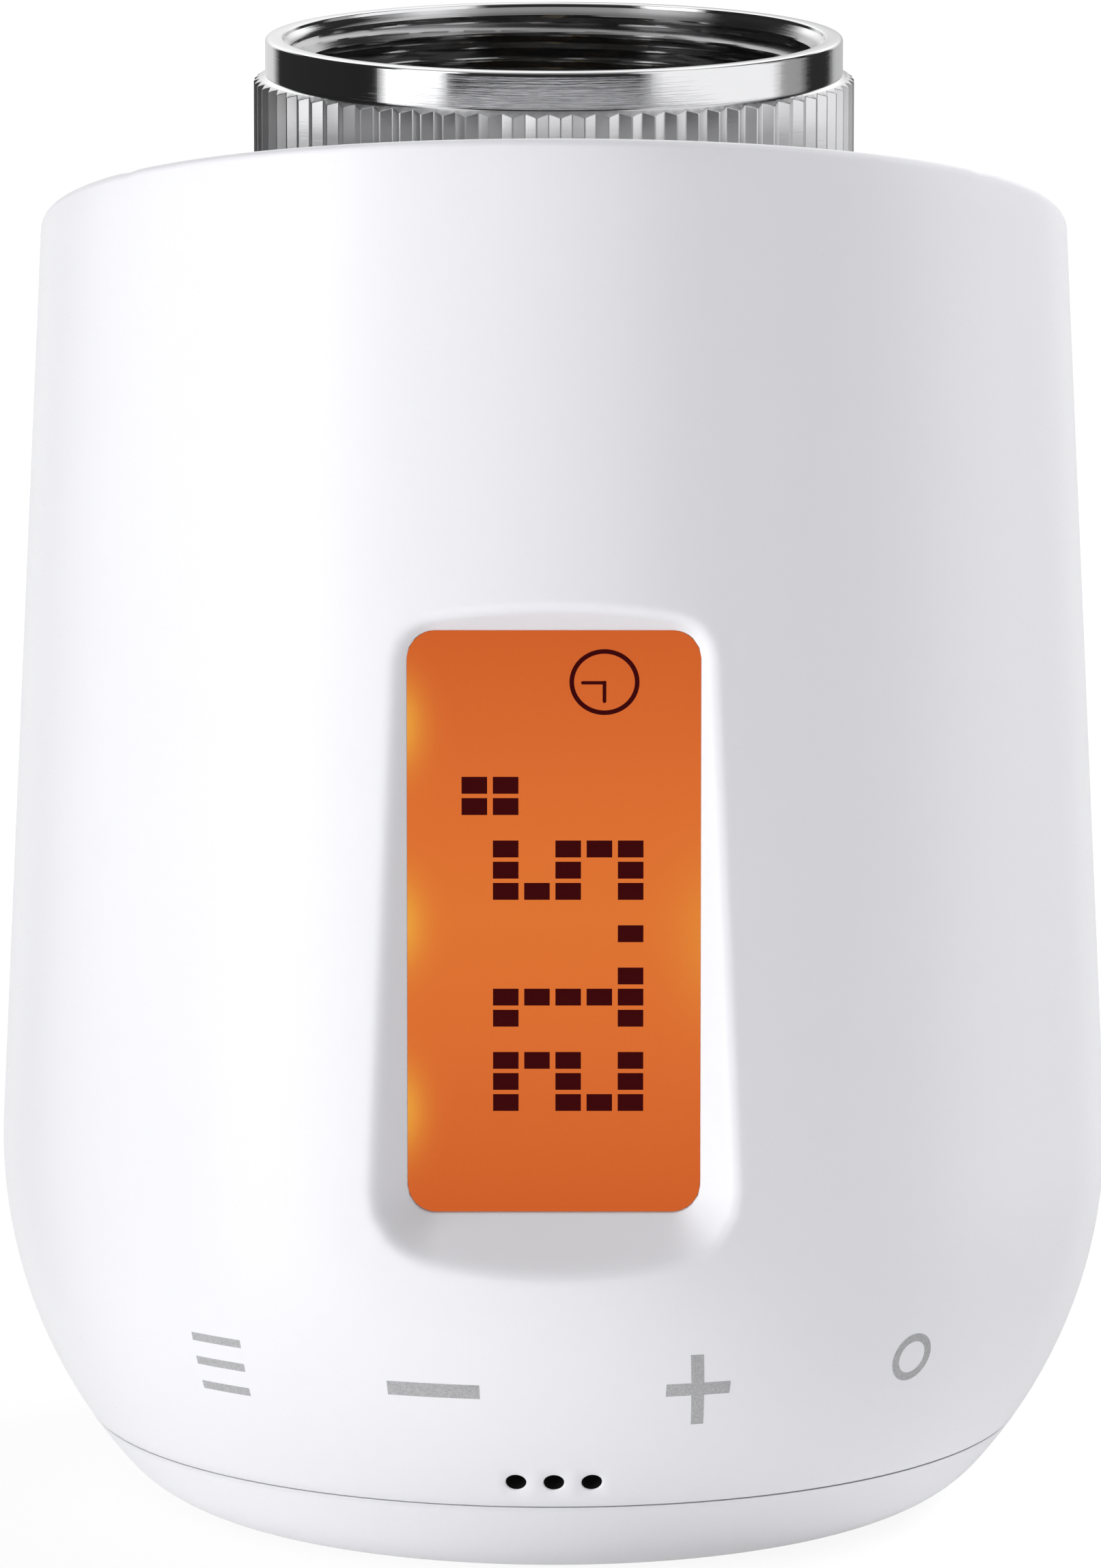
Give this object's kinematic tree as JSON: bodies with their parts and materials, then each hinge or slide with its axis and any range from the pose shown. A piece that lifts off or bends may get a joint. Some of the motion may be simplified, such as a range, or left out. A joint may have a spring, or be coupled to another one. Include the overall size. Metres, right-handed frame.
{
  "type": "electronic radiator thermostat head",
  "caption": "Battery driven radiator thermostat head: a round barrel with a lit display and touch fields, and a knurled union nut that screws onto a radiator valve.",
  "frame": {"origin": "centre of the flat foot of the end cap, on the barrel's axis", "axes": "+Z along the barrel's axis from the foot to the union nut; the display faces -Y; +X is the display's right side"},
  "size_m": [0.064, 0.064, 0.0849],
  "materials": {
    "white_shell": "gloss",
    "grey_cover": "satin",
    "clear_lens": "polished",
    "orange_display": "lit from behind",
    "light_guide": "frosted",
    "led_amber": "gloss",
    "dark_frame": "matt",
    "strip_rubber": "matt",
    "board_green": "solder mask",
    "chip_black": "matt",
    "tinned_metal": "satin",
    "foam_dark": "matt",
    "sensor_bead": "gloss",
    "chassis_grey": "matt",
    "plated_steel": "zinc plated",
    "cell_wrap": "printed wrap, bare here",
    "spring_steel": "nickel plated",
    "motor_can": "satin",
    "brass": "machined",
    "gear_acetal": "satin",
    "guide_acetal": "satin",
    "collar_metal": "nickel plated",
    "nut_chrome": "polished"
  },
  "bodies": {
    "shell": {"housing": "white_shell", "top_cover": "grey_cover", "window_lens": "clear_lens", "lcd_panel": "orange_display", "light_guide": "light_guide", "backlight_leds": "led_amber", "display_frame": "dark_frame", "zebra_strips": "strip_rubber", "circuit_board": "board_green", "controller_chip": "chip_black", "board_parts": "tinned_metal", "touch_pads": "foam_dark", "temperature_sensor": "sensor_bead", "chassis": "chassis_grey", "deck_screws": "plated_steel", "battery_a": "cell_wrap", "battery_b": "cell_wrap", "deck_contacts": "spring_steel", "motor": "motor_can", "gear_axles": "plated_steel", "thrust_washer": "plated_steel", "gearbox_cover": "chassis_grey", "gearbox_screws": "plated_steel", "plunger_guide": "guide_acetal", "mount_collar": "collar_metal", "collar_screws": "plated_steel", "slip_washer": "guide_acetal", "retaining_ring": "spring_steel"},
    "cap": {"end_cap": "white_shell", "cap_contact_plate": "spring_steel", "cap_springs": "spring_steel"},
    "nut": {"union_nut": "nut_chrome"},
    "output_spindle": {"spindle": "brass"},
    "tappet": {"plunger": "brass"},
    "third_gear": {"gear_3": "gear_acetal"},
    "second_gear": {"gear_2": "gear_acetal"},
    "first_gear": {"gear_1": "gear_acetal"},
    "rotor": {"motor_pinion": "brass"}
  },
  "joints": [
    {"name": "nut_spin", "type": "hinge", "parent": "shell", "child": "nut", "pos_m": [0, 0, 0.0774], "axis": [0, 0, 1], "continuous": true},
    {"name": "spindle_turn", "type": "hinge", "parent": "shell", "child": "output_spindle", "pos_m": [0, 0, 0.0608], "axis": [0, 0, 1], "range_deg": [0, 1081.08]},
    {"name": "tappet_slide", "type": "slide", "parent": "shell", "child": "tappet", "axis": [0, 0, 1], "range_m": [0, 0.0045]},
    {"name": "gear_3_turn", "type": "hinge", "parent": "shell", "child": "third_gear", "pos_m": [0.00996, -0.00575, 0.0617], "axis": [0, 0, 1], "range_deg": [-3891.89, 0]},
    {"name": "gear_2_turn", "type": "hinge", "parent": "shell", "child": "second_gear", "pos_m": [0.00496, -0.01441, 0.0637], "axis": [0, 0, 1], "range_deg": [0, 11675.66]},
    {"name": "gear_1_turn", "type": "hinge", "parent": "shell", "child": "first_gear", "pos_m": [-0.0047, -0.017, 0.0627], "axis": [0, 0, 1], "range_deg": [-35026.99, 0]},
    {"name": "rotor_turn", "type": "hinge", "parent": "shell", "child": "rotor", "pos_m": [-0.01044, -0.00881, 0.0607], "axis": [0, 0, 1], "range_deg": [0, 105080.98]},
    {"name": "cap_pull", "type": "slide", "parent": "shell", "child": "cap", "axis": [0, 0, -1], "range_m": [0, 0.03]}
  ],
  "couplings": [
    {"joint": "spindle_turn", "follows": "tappet_slide", "rad_per_m": 4188.8},
    {"joint": "gear_3_turn", "follows": "tappet_slide", "rad_per_m": -15080},
    {"joint": "gear_2_turn", "follows": "tappet_slide", "rad_per_m": 45239},
    {"joint": "gear_1_turn", "follows": "tappet_slide", "rad_per_m": -135720},
    {"joint": "rotor_turn", "follows": "tappet_slide", "rad_per_m": 407150}
  ]
}
